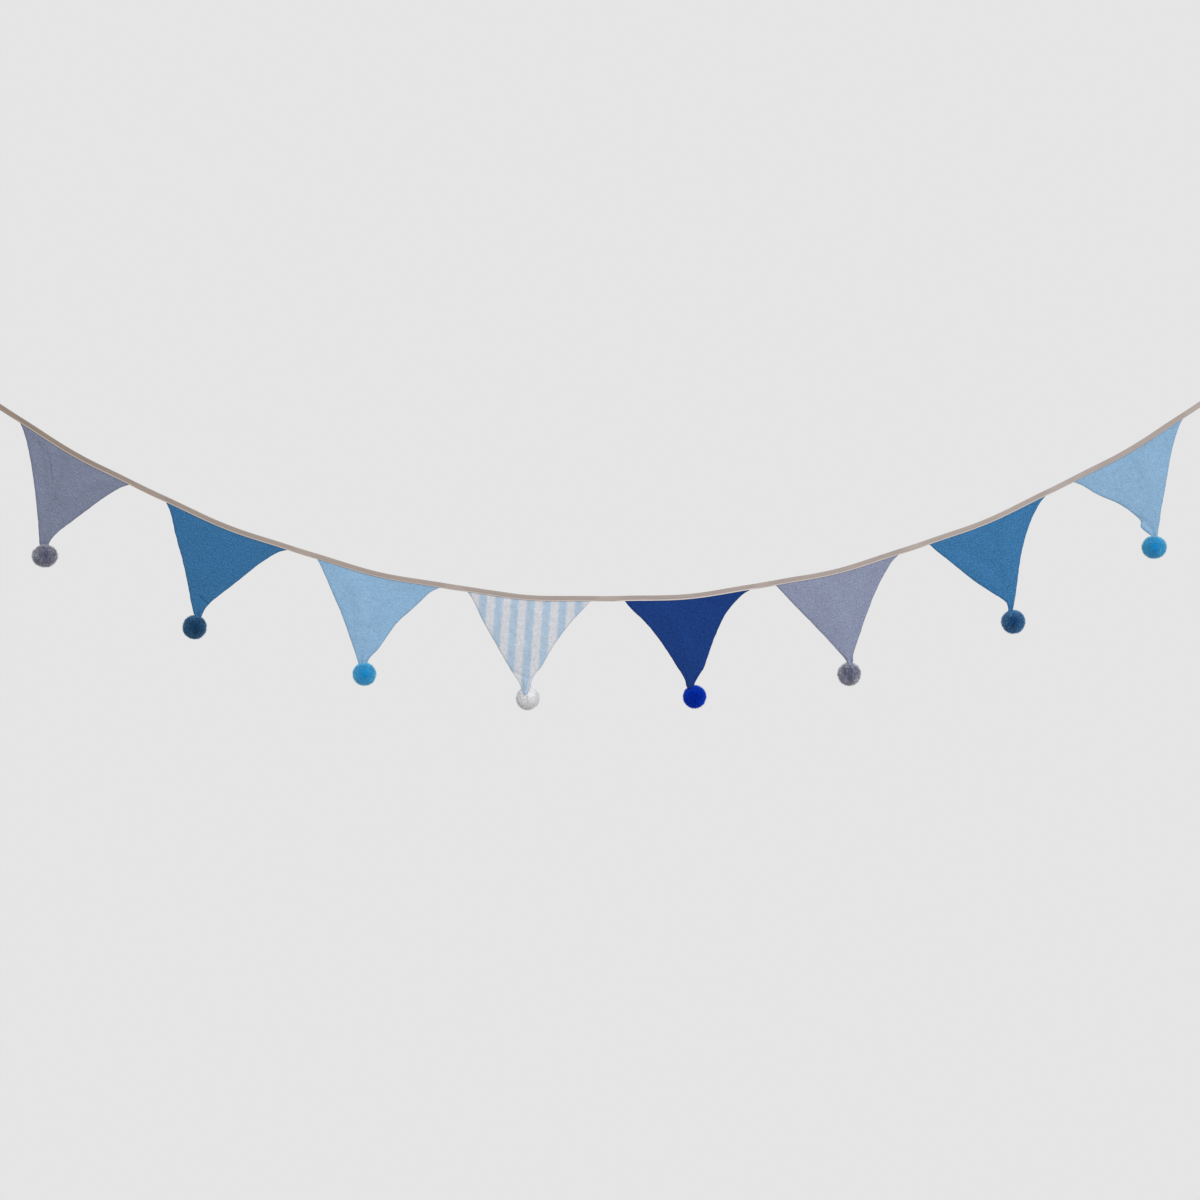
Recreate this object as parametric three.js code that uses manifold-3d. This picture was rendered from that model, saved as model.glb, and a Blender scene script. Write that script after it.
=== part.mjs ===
// Hanging bunting: eight pointed flags of crinkled cotton, sewn side by side into one folded tape,
// each with a yarn pompom at its tip. The tape hangs in a shallow curve.
// Millimetres, +Z up, the front faces -Y. The origin is the lowest point of the tape's top edge.
import * as THREE from 'three';
import { mergeVertices } from 'three/addons/utils/BufferGeometryUtils.js';
import Module from 'manifold-3d';

const wasm = await Module();
wasm.setup();

// Driving dimensions
const CLEARANCE = 0.3; // left between pieces that are sewn together
const CURVE_RADIUS = 1443; // of the hanging tape, at its lowest point

const TAPE = {
  start: -990, // its left end, measured along the tape from the origin
  end: 996, // its right end
  width: 8,
  leg: 1, // thickness of one folded leg
  station: 24, // spacing of its cross-sections
  ease: 16, // how far from a flag the legs close on each other
  pull: 2.7, // how far the middle of a flag draws the tape down
  color: 0xaa9c92,
};

// The tape's section from its folded top edge down, as a share of its full thickness
const TAPE_ROWS = [
  { below: 0, thickness: 0.35 },
  { below: 0.5, thickness: 0.8 },
  { below: 1.4, thickness: 1 },
  { below: TAPE.width, thickness: 1 },
];

// The tape wanders a little to the front and back between its flat ends
const DRIFT = { depth: 2.5, length: 610, flatEnd: 60, fade: 90 };

const CLOTH = {
  thickness: 1.5,
  seam: 5, // how far a flag's top edge goes in between the tape's legs
  belly: 3, // how far a flag's middle bulges to the front
  columns: 8,
  rows: 9, // between the tape and the neck
  foldStart: 0.14, // folds are full from this share of the way down
  foldEnd: 0.9, // and die out from here to the neck
};

// Where along an edge the table below says how far it is drawn in from a straight line
const EDGE_STEPS = [0.1, 0.3, 0.55, 0.8, 0.9];

// start and width run along the tape. neck is the narrow end that goes into the pompom.
// left and right are how far each edge is drawn in at EDGE_STEPS.
// behind is how far the pompom's middle lies behind the neck.
const FLAGS = [
  {
    color: 0x798096, start: -916, width: 188, left: [4, 6.5, 6, 3.5, 2], right: [4.5, 6.8, 6.8, 6.7, 5.6],
    neck: { x: -832, z: 79, width: 14.5, depth: 1 },
    pompom: { color: 0x565769, x: -831, z: 60, wide: 39, tall: 35, behind: 0 },
  },
  {
    color: 0x3c6b98, start: -667, width: 194, left: [2.6, 2, 2.8, 1.4, 0], right: [6, 8.6, 7.5, 7, 5.5],
    neck: { x: -600, z: -27, width: 14.5, depth: -2 },
    pompom: { color: 0x183958, x: -606, z: -47, wide: 36.5, tall: 36.5, behind: 1 },
  },
  {
    color: 0x8caecd, start: -426, width: 188, left: [1.6, 2.5, 3.6, 2, 1.5], right: [5.6, 7, 9, 3.6, 2.8],
    neck: { x: -354, z: -99, width: 14.5, depth: 1 },
    pompom: { color: 0x1682b4, x: -351.5, z: -117.5, wide: 35.5, tall: 35.5, behind: 0 },
  },
  {
    color: 0xc0cddc, start: -196, width: 184, left: [0, -2, -2.5, -2.3, -1.6], right: [1, 5, 5.8, 3, 4],
    neck: { x: -109.5, z: -134, width: 16, depth: -2 },
    pompom: { color: 0xc6c7ca, x: -106.5, z: -154, wide: 35.5, tall: 35.5, behind: 6 },
  },
  {
    color: 0x1c3e7a, start: 39, width: 188, left: [1, 6.4, 7.9, 5.5, 4.8], right: [7.7, 13.3, 9.3, 0.9, 0.6],
    neck: { x: 137.5, z: -134.5, width: 12.5, depth: 0 },
    pompom: { color: 0x0b2388, x: 144, z: -151.5, wide: 35.5, tall: 35.5, behind: 5 },
  },
  {
    color: 0x8c93a9, start: 266, width: 188.5, left: [-0.2, 0, 1, 1, 1], right: [6, 9.9, 9.3, 6.2, 4.6],
    neck: { x: 377, z: -98, width: 10, depth: 2 },
    pompom: { color: 0x5b5e72, x: 376.5, z: -117.5, wide: 36, tall: 36, behind: 6 },
  },
  {
    color: 0x3d76a5, start: 503, width: 188, left: [-0.7, -0.5, -0.3, 2.9, 4.6], right: [6.5, 11.6, 10.6, 4.3, 1.9],
    neck: { x: 618, z: -18, width: 7.5, depth: -1 },
    pompom: { color: 0x193f66, x: 622.5, z: -39, wide: 36.5, tall: 36.5, behind: 6 },
  },
  {
    color: 0x88b0d0, start: 738, width: 188, left: [3.4, 5.4, 11.4, 9.6, -0.2], right: [4, 6, 4, 2.6, 1],
    neck: { x: 834, z: 90.5, width: 9.5, depth: 2 },
    pompom: { color: 0x1383b9, x: 833.5, z: 73, wide: 37.5, tall: 35, behind: 0 },
  },
];

// A soft fold runs from one place on its flag to another, each given as shares across and down.
// depth is positive for a trough, away from the front.
const FOLDS = [
  { flag: 1, from: [0.15, 0.1], to: [0.26, 0.66], reach: 10, depth: 3.5 },
  { flag: 1, from: [0.4, 0.06], to: [0.36, 0.55], reach: 9, depth: 2.5 },
  { flag: 1, from: [0.82, 0.1], to: [0.6, 0.5], reach: 13, depth: -2.5 },
  { flag: 2, from: [0.5, 0.12], to: [0.42, 0.6], reach: 16, depth: -3 },
  { flag: 2, from: [0.72, 0.7], to: [0.5, 0.95], reach: 7, depth: 3 },
  { flag: 3, from: [0.8, 0.1], to: [0.6, 0.62], reach: 14, depth: 3 },
  { flag: 3, from: [0.3, 0.15], to: [0.4, 0.55], reach: 15, depth: -2 },
  { flag: 4, from: [0.62, 0.15], to: [0.58, 0.6], reach: 17, depth: -2.5 },
  { flag: 4, from: [0.1, 0.86], to: [0.9, 0.97], reach: 6, depth: 1.5 },
  { flag: 5, from: [0.3, 0.1], to: [0.45, 0.7], reach: 16, depth: -2.5 },
  { flag: 5, from: [0.8, 0.12], to: [0.68, 0.5], reach: 12, depth: 2.5 },
  { flag: 6, from: [0.84, 0.15], to: [0.8, 0.75], reach: 11, depth: 2.5 },
  { flag: 6, from: [0.35, 0.12], to: [0.5, 0.6], reach: 17, depth: -2 },
  { flag: 7, from: [0.14, 0.1], to: [0.5, 0.66], reach: 14, depth: 2 },
  { flag: 7, from: [0.66, 0.15], to: [0.72, 0.7], reach: 15, depth: -3 },
  { flag: 8, from: [0.6, 0.1], to: [0.7, 0.62], reach: 14, depth: -2.5 },
  { flag: 8, from: [0, 0.76], to: [0.5, 0.93], reach: 8, depth: 2.5 },
];

// A pompom is a core with locks of yarn standing out of it all round.
// Sizes are shares of its radius, and the places nearest to the neck stay free.
const YARN = {
  core: 0.72,
  root: 0.45, // where a lock starts, inside the core
  flareAt: 0.87,
  rootWidth: 0.1,
  flareWidth: 0.25,
  sides: 4,
  places: 37,
  free: 5,
  shortest: 0.97, // uneven lengths, up to the full radius
  tab: { above: 6.5, width: 0.6, towardNeck: 0.35 }, // end of the flag's tip in the core
  notchStart: 0.85, // how far down the flag the notch for it starts
};

const FULL_TURN = 2 * Math.PI;
const GOLDEN_ANGLE = Math.PI * (3 - Math.sqrt(5));
const { lerp, smoothstep } = THREE.MathUtils;

// The hanging tape

function flagPull(along) {
  let pull = 0;
  for (const { start, width } of FLAGS) {
    const share = THREE.MathUtils.clamp((along - start) / width, 0, 1);
    pull += TAPE.pull * Math.sin(Math.PI * share) ** 2;
  }
  return pull;
}

function tapeDrift(along) {
  const toEnd = Math.min(along - TAPE.start, TAPE.end - along) - DRIFT.flatEnd;
  return DRIFT.depth * Math.sin((FULL_TURN * along) / DRIFT.length) * smoothstep(toEnd, 0, DRIFT.fade);
}

// A place in the middle of the tape's thickness: along it, and below its top edge
function tapePoint(along, below) {
  const slope = Math.atan2(along, CURVE_RADIUS);
  const x = CURVE_RADIUS * Math.asinh(along / CURVE_RADIUS) + below * Math.sin(slope);
  const z = Math.hypot(CURVE_RADIUS, along) - CURVE_RADIUS - below * Math.cos(slope) - flagPull(along);
  return new THREE.Vector3(x, tapeDrift(along), z);
}

// Half of the tape's thickness: its legs lie together, and part where a flag is sewn in
function tapeHalf(along) {
  let open = 0;
  for (const { start, width } of FLAGS) {
    const outside = Math.max(start - along, along - start - width, 0);
    open = Math.max(open, 1 - smoothstep(outside, 0, TAPE.ease));
  }
  return TAPE.leg + open * (CLOTH.thickness / 2 + CLEARANCE);
}

// The flags' surfaces

function edgeCurve(flag, side) {
  const isLeft = side === 'left';
  const corner = tapePoint(flag.start + (isLeft ? 0 : flag.width), TAPE.width);
  const top = new THREE.Vector2(corner.x, corner.z);
  const neckX = flag.neck.x + (isLeft ? -0.5 : 0.5) * flag.neck.width;
  const bottom = new THREE.Vector2(neckX, flag.neck.z);
  const chord = bottom.clone().sub(top);
  const inward = new THREE.Vector2(-chord.y, chord.x).normalize().multiplyScalar(isLeft ? 1 : -1);
  const drawnIn = flag[side].map((amount, i) =>
    top.clone().lerp(bottom, EDGE_STEPS[i]).addScaledVector(inward, amount));
  return new THREE.SplineCurve([top, ...drawnIn, bottom]);
}

function foldDepth(flag, across, down) {
  const size = new THREE.Vector2(lerp(flag.width, flag.neck.width, down), flag.width);
  const here = new THREE.Vector2(across, down);
  let depth = 0;
  for (const fold of flag.folds) {
    const from = new THREE.Vector2(...fold.from);
    const run = new THREE.Vector2(...fold.to).sub(from);
    const share = THREE.MathUtils.clamp(here.clone().sub(from).dot(run) / run.lengthSq(), 0, 1);
    const away = here.clone().sub(from).addScaledVector(run, -share).multiply(size).length();
    depth += fold.depth * Math.exp(-((away / fold.reach) ** 2));
  }
  return depth * smoothstep(down, 0, CLOTH.foldStart) * (1 - smoothstep(down, CLOTH.foldEnd, 1));
}

// A place on a flag. down is 0 at the tape's lower edge, 1 at the neck and 2 at the end of the tab
// in the pompom. At -1 it is the top edge in the seam. grow widens the flag on both sides.
function flagPoint(flag, across, down, grow = 0) {
  const along = flag.start + across * flag.width + (2 * across - 1) * grow;
  if (down < 0) {
    return tapePoint(along, TAPE.width + down * CLOTH.seam);
  }
  const { neck, pompom } = flag;
  if (down > 1) {
    const { above, width, towardNeck } = YARN.tab;
    const share = down - 1;
    const middle = lerp(neck.x, lerp(pompom.x, neck.x, towardNeck), share);
    const half = 0.5 * neck.width * lerp(1, width, share) + grow;
    const z = lerp(neck.z, pompom.z + above - grow, share);
    return new THREE.Vector3(middle + (2 * across - 1) * half, neck.depth, z);
  }
  const left = flag.edges.left.getPointAt(down);
  const right = flag.edges.right.getPointAt(down);
  const hem = tapePoint(along, TAPE.width);
  const straightHem = flag.edges.left.getPoint(0).lerp(flag.edges.right.getPoint(0), across);
  const x = lerp(left.x - grow, right.x + grow, across) + (1 - down) * (hem.x - straightHem.x);
  const z = lerp(left.y, right.y, across) + (1 - down) * (hem.z - straightHem.y);
  const belly = CLOTH.belly * Math.sin(Math.PI * down) * Math.sin(Math.PI * across);
  const y = lerp(hem.y, neck.depth, down) - belly + foldDepth(flag, across, down);
  return new THREE.Vector3(x, y, z);
}

// Solids

// A box bent by place(across, row, front): across is 0 to 1, rows count down, front is 1 or -1
function bentBox(columns, rows, place) {
  const geometry = new THREE.BoxGeometry(1, 1, 1, columns, rows, 1);
  const position = geometry.getAttribute('position');
  for (let i = 0; i < position.count; i += 1) {
    const row = Math.round((0.5 - position.getY(i)) * rows);
    const point = place(position.getX(i) + 0.5, row, Math.sign(position.getZ(i)));
    position.setXYZ(i, point.x, point.y, point.z);
  }
  return geometry;
}

// The thickness of a sheet lies along Y: half of it in front and half behind
function thicken(point, half, front) {
  point.y -= front * half;
  return point;
}

// A closed geometry as a solid: shared vertices merged, collapsed triangles dropped
function toSolid(geometry) {
  const bare = new THREE.BufferGeometry();
  bare.setAttribute('position', geometry.getAttribute('position').clone());
  bare.setIndex(geometry.getIndex());
  const merged = mergeVertices(bare, 1e-4);
  const corners = merged.getIndex().array;
  const triangles = [];
  for (let i = 0; i < corners.length; i += 3) {
    const [a, b, c] = [corners[i], corners[i + 1], corners[i + 2]];
    if (a !== b && b !== c && c !== a) {
      triangles.push(a, b, c);
    }
  }
  return new wasm.Manifold(new wasm.Mesh({
    numProp: 3,
    vertProperties: new Float32Array(merged.getAttribute('position').array),
    triVerts: new Uint32Array(triangles),
  }));
}

function toGeometry(solid) {
  const { vertProperties, triVerts } = solid.getMesh();
  const geometry = new THREE.BufferGeometry();
  geometry.setAttribute('position', new THREE.BufferAttribute(vertProperties, 3));
  geometry.setIndex(new THREE.BufferAttribute(triVerts, 1));
  geometry.computeVertexNormals();
  return geometry;
}

function clothMesh(name, geometry, color) {
  const material = new THREE.MeshStandardMaterial({ color, roughness: 0.95, metalness: 0 });
  const mesh = new THREE.Mesh(geometry, material);
  mesh.name = name;
  return mesh;
}

// The folded tape, with a slot between its legs for the top edge of each flag
function makeTape() {
  const stations = Math.ceil((TAPE.end - TAPE.start) / TAPE.station);
  const band = bentBox(stations, TAPE_ROWS.length - 1, (across, row, front) => {
    const along = lerp(TAPE.start, TAPE.end, across);
    const { below, thickness } = TAPE_ROWS[row];
    return thicken(tapePoint(along, below), tapeHalf(along) * thickness, front);
  });
  const slotTop = TAPE.width - CLOTH.seam - CLEARANCE;
  const slotBottom = TAPE.width + CLEARANCE;
  let tape = toSolid(band);
  for (const flag of FLAGS) {
    const slot = bentBox(CLOTH.columns, 1, (across, row, front) => {
      const along = flag.start + across * flag.width + (2 * across - 1) * CLEARANCE;
      return thicken(tapePoint(along, row ? slotBottom : slotTop), CLOTH.thickness / 2 + CLEARANCE, front);
    });
    tape = tape.subtract(toSolid(slot));
  }
  return clothMesh('tape', toGeometry(tape), TAPE.color);
}

// One flag, from the top edge in its seam to the tab in its pompom
function makeFlag(flag) {
  const downs = [-1];
  for (let row = 0; row <= CLOTH.rows; row += 1) {
    downs.push(row / CLOTH.rows);
  }
  downs.push(2);
  const sheet = bentBox(CLOTH.columns, downs.length - 1, (across, row, front) =>
    thicken(flagPoint(flag, across, downs[row]), CLOTH.thickness / 2, front));
  return clothMesh(`flag_${flag.number}`, toGeometry(toSolid(sheet)), flag.color);
}

// A repeatable uneven number from 0 to 1
function uneven(seed) {
  const value = Math.sin(seed * 12.9898) * 43758.5453;
  return value - Math.floor(value);
}

// One lock of yarn on a ball of radius 1: thin at its root, widest near its pointed end
function lockGeometry(length) {
  const profile = [
    new THREE.Vector2(0, YARN.root),
    new THREE.Vector2(YARN.rootWidth, YARN.root),
    new THREE.Vector2(YARN.flareWidth, YARN.flareAt * length),
    new THREE.Vector2(0, length),
  ];
  return new THREE.LatheGeometry(profile, YARN.sides);
}

// A pompom: locks spread evenly round a core, with the places nearest the neck left free
// and a notch for the flag's tab
function makePompom(flag) {
  const { neck, pompom, number } = flag;
  const middle = new THREE.Vector3(pompom.x, neck.depth + pompom.behind, pompom.z);
  const radii = new THREE.Vector3(pompom.wide, (pompom.wide + pompom.tall) / 2, pompom.tall).divideScalar(2);
  const toNeck = new THREE.Vector3(neck.x, neck.depth, neck.z).sub(middle).normalize();
  const up = new THREE.Vector3(0, 1, 0);
  const aim = new THREE.Quaternion().setFromUnitVectors(up, toNeck);
  const place = new THREE.Matrix4().makeTranslation(middle).scale(radii);

  let ball = toSolid(new THREE.IcosahedronGeometry(YARN.core).applyMatrix4(place));
  for (let i = YARN.free; i < YARN.places; i += 1) {
    const height = 1 - (2 * i + 1) / YARN.places;
    const turn = GOLDEN_ANGLE * i;
    const ring = Math.sqrt(1 - height * height);
    const direction = new THREE.Vector3(ring * Math.cos(turn), height, ring * Math.sin(turn));
    direction.applyQuaternion(aim);
    const lean = new THREE.Quaternion().setFromUnitVectors(up, direction);
    const length = lerp(YARN.shortest, 1, uneven(number * YARN.places + i));
    const lock = lockGeometry(length).applyQuaternion(lean).applyMatrix4(place);
    ball = ball.add(toSolid(lock));
  }

  const cutDowns = [YARN.notchStart, 1, 2];
  const notch = bentBox(2, cutDowns.length - 1, (across, row, front) =>
    thicken(flagPoint(flag, across, cutDowns[row], CLEARANCE), CLOTH.thickness / 2 + CLEARANCE, front));
  return clothMesh(`pompom_${number}`, toGeometry(ball.subtract(toSolid(notch))), pompom.color);
}

const bunting = new THREE.Group();
bunting.name = 'bunting';
bunting.add(makeTape());
FLAGS.forEach((flag, i) => {
  flag.number = i + 1;
  flag.folds = FOLDS.filter((fold) => fold.flag === flag.number);
  flag.edges = { left: edgeCurve(flag, 'left'), right: edgeCurve(flag, 'right') };
  bunting.add(makeFlag(flag), makePompom(flag));
});

export default bunting;
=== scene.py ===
"""Hanging cotton bunting: a folded tape, crinkled gauze flags and yarn pompoms, dressed on its frame."""

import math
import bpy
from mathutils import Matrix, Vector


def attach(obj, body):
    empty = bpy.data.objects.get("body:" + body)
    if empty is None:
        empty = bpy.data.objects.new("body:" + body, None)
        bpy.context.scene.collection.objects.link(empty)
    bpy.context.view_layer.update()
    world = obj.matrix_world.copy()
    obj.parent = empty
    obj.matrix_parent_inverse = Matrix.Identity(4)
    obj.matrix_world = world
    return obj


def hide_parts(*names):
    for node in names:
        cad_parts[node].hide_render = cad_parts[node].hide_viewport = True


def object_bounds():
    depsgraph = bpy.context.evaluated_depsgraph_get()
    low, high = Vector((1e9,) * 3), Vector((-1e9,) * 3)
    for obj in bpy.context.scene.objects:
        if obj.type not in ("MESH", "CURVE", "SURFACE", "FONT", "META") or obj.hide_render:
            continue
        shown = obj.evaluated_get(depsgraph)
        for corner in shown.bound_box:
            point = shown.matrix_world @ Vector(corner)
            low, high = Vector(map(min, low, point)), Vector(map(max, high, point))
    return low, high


bl_info = {
    "name": "Cotton bunting with pompoms",
    "version": (1, 0, 0),
    "blender": (4, 5, 0),
    "location": "View3D > Sidebar > Bunting",
    "description": "Sews a hanging bunting of crinkled cotton flags, each with a yarn pompom at its tip",
    "category": "Object",
}

from collections import namedtuple

import bpy
import numpy as np
from bpy.props import FloatProperty, FloatVectorProperty, IntProperty, PointerProperty
from bpy.types import Operator, Panel, PropertyGroup
from mathutils import Vector, noise

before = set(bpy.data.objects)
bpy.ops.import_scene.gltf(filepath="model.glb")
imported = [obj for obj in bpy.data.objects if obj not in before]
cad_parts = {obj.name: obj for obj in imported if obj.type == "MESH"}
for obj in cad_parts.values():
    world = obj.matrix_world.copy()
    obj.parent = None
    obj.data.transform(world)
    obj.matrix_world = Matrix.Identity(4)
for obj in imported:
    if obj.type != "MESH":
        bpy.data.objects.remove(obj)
CAD_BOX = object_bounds()

# Sizes in the tables are millimetres, as the bunting is measured. Blender's are metres.
MM = 0.001
FULL_TURN = 2 * math.pi
GOLDEN_ANGLE = math.pi * (3 - math.sqrt(5))


def paint(red, green, blue):
    """A colour given as bytes, as the linear values that Blender's colours hold."""
    shares = (value / 255 for value in (red, green, blue))
    return tuple(s / 12.92 if s <= 0.04045 else ((s + 0.055) / 1.055) ** 2.4 for s in shares)


# Grained noise: how strongly it shows, as tone or in millimetres, and the size of its grains across
# and down. SEED_STEP sets one seed's noise apart from the next one's.
Grain = namedtuple("Grain", "strength across down")
SEED_STEP = 7.31

# The hanging tape: millimetres along it are counted from its lowest point. TAPE_EASE is how far past
# a flag its legs close, and FLAG_PULL how far a flag's weight draws it down. It drifts to the back
# and the front between its flat ends, sways in height and wobbles a little.
CURVE_RADIUS = 1443
TAPE_START = -990
TAPE_END = 996
TAPE_STATIONS = 420
TAPE_EASE = 16
FLAG_PULL = 2.7
DRIFT_DEPTH = 2.5
DRIFT_LENGTH = 610
DRIFT_FLAT_END = 60
DRIFT_FADE = 90
SWAY = 0.9
SWAY_LENGTH = 1600
SWAY_CREST = -480
WOBBLE = Grain(0.25, 37, 53)
WOBBLE_SEED = 1
WOBBLE_STRETCH = 0.1

# Along the tape, how far its colour has turned from that of its darker left end to that of its lighter
# right end: painted light, as light falls from the right
TAPE_LIGHT_AT = (-900, -700, -450, -200, 100, 350, 900)
TAPE_LIGHT_SHARE = (0, 0.3, 0.63, 0.75, 0.8, 0.92, 1)

# The tape's section, below its top edge. A leg's inner layer lies LEG_CLOSED from the tape's middle,
# and where a flag lies between the legs, LEG_PARTED further. The sewing pinches both layers in.
LEG_CLOSED = 0.26
LEG_PARTED = 0.78
RAW_EDGE = 2.0
MID_LEG = 4.4
INNER_PINCH = 0.12
INNER_PINCH_REACH = 0.5
STITCH_PINCH = 0.34
TURN_STEPS = 3
TOP_STEPS = 4
TOP_RISE = 1.1

# The outer layer by the stitches: how far below them, how far it is pinched in, and its share of lip
STITCHED_LAYER = (
    (0.75, 0.05, 1), (0.3, 0.24, 0.7), (0, STITCH_PINCH, 0.2), (-0.3, 0.26, 0), (-0.9, 0.06, 0),
)

# The outer layer from there to the folded top: how far below the top, and how far it is drawn in
UPPER_LAYER = ((MID_LEG, 0), (3.2, 0), (2.3, 0), (1.7, 0.03))

# A stitch from end to end: shares of its length, and its height and thickness as shares of its radius
STITCH_RINGS = ((-0.5, -0.75, 0.45), (-0.38, 0, 0.95), (0, 0.3, 1), (0.38, 0, 0.95), (0.5, -0.75, 0.45))
STITCH_SIDES = 4

# The tape's cotton: its mottling and weave, shares of its relief and the relief's depth, how much a flag
# inside darkens it, and how far the painted highlight on its lower lip turns toward grey
TAPE_CLOUD = Grain(0.3, 60, 9)
TAPE_SLUB = Grain(0.25, 14, 0.9)
TAPE_THREAD_PITCH = 0.6
TAPE_WEAVE_TONE = 0.1
TAPE_WEAVE_RELIEF = 0.6
TAPE_SLUB_RELIEF = 0.4
TAPE_RELIEF = 0.25
TAPE_SHADE = 0.1
LIP_HIGHLIGHT_GREYING = 0.45

# The sewing thread's fuzz: grains to the metre, how strongly they show, and their depth
FUZZ_SCALE = 2600
FUZZ_TONE = 0.4
FUZZ_RELIEF = 0.08

# The flags' cloth: the seam inside the tape, how far a flag bellies forward, the shares down it where
# its folds set in and die out, and the shares down its edges where they are measured
SEAM = 5
BELLY = 3
FOLD_START = 0.14
FOLD_END = 0.9
EDGE_STEPS = (0.1, 0.3, 0.55, 0.8, 0.86, 0.95)

# A flag's grid, as shares across and down it: closer columns by its edges, rows in the seam above 0,
# and rows on the tip below 1
EDGE_COLUMNS = (0, 0.003, 0.008)
INNER_COLUMN = 0.016
SEAM_ROWS = (-1, -0.6, -0.25)
TIP_ROW = 1.1
TIP_ROWS = 10

# Its crinkles, as shares of the cloth's crinkle. They set in over HEM_EASE below the tape.
COARSE_CRINKLE = Grain(0.62, 9, 13)
FINE_CRINKLE = Grain(0.5, 4.6, 6.4)
FINE_SEED = 20
HEM_EASE = 0.05

# Its edges, each within its reach: rolled back and puckered, waved in and out, darker and thinner
ROLL_DEPTH = 0.9
ROLL_REACH = 2.6
PUCKER = Grain(0.5, 6, 6)
PUCKER_SEED = 40
EDGE_WAVE = Grain(0.5, 1, 8)
EDGE_WAVE_SEED = 60
EDGE_WAVE_REACH = 6
EDGE_SHADE = 0.24
EDGE_SHADE_REACH = 1.4
EDGE_THINNING = 0.62
EDGE_THINNING_REACH = 0.7

# Its gathered neck: where down the flag the gathering sets in and is full, how much of the crinkle it
# takes up, how far it slackens along the tip, and its pleats across the flag
GATHER_START = 0.78
GATHER_FULL = 1.02
GATHER_CALM = 0.7
SLACK_START = 1.2
SLACK = 0.5
PLEATS = 1.5
PLEAT_SHIFT = 0.17
PLEAT_DEPTH = 1.1

# Its tip below the neck: how narrow it gets, how far it leans away from the pompom's middle, where it
# lies in the pile, how far above the pompom's middle it ends when it goes inside, over which share of
# its length it bends forward, and how round that bend is
TIP_WIDTH = 0.45
TIP_LEAN = -0.2
TIP_BED = 0.93
TIP_INSIDE = 6.5
TIP_BEND = 0.3
TIP_ROUNDING = 3

# Each cloth's crinkle as lighter and darker spots, partly the gauze's own mottling and partly painted
# shade of its crinkles, and what else mottles the gauze
CRINKLES = {
    "grey_blue": Grain(1.1, 2.2, 2.3),
    "denim_blue": Grain(1.6, 2.2, 2.3),
    "light_blue": Grain(0.75, 2.2, 2.2),
    "striped": Grain(0.55, 2.2, 2.4),
    "navy": Grain(1.5, 3.2, 2.0),
}
LUMP = Grain(0.25, 6, 7)
SLUB = Grain(0.25, 18, 1.2)
CLOUD = Grain(0.16, 38, 46)
WEAVE_TONE = 0.2

# Shares of the gauze's relief, and the relief's depth
CRINKLE_RELIEF = 0.55
LUMP_RELIEF = 0.3
WEAVE_RELIEF = 0.15
GAUZE_RELIEF = 0.9

# The stripes' edges: how they wander, and how far they blur
STRIPE_WANDER = Grain(4.5, 6, 11)
STRIPE_BLUR = 2.2

Neck = namedtuple("Neck", "x z width depth")
Ball = namedtuple("Ball", "yarn tone x z wide tall behind over")
Flag = namedtuple("Flag", "cloth tone lip start width left right neck ball")
Fold = namedtuple("Fold", "flag start end reach depth")

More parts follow.
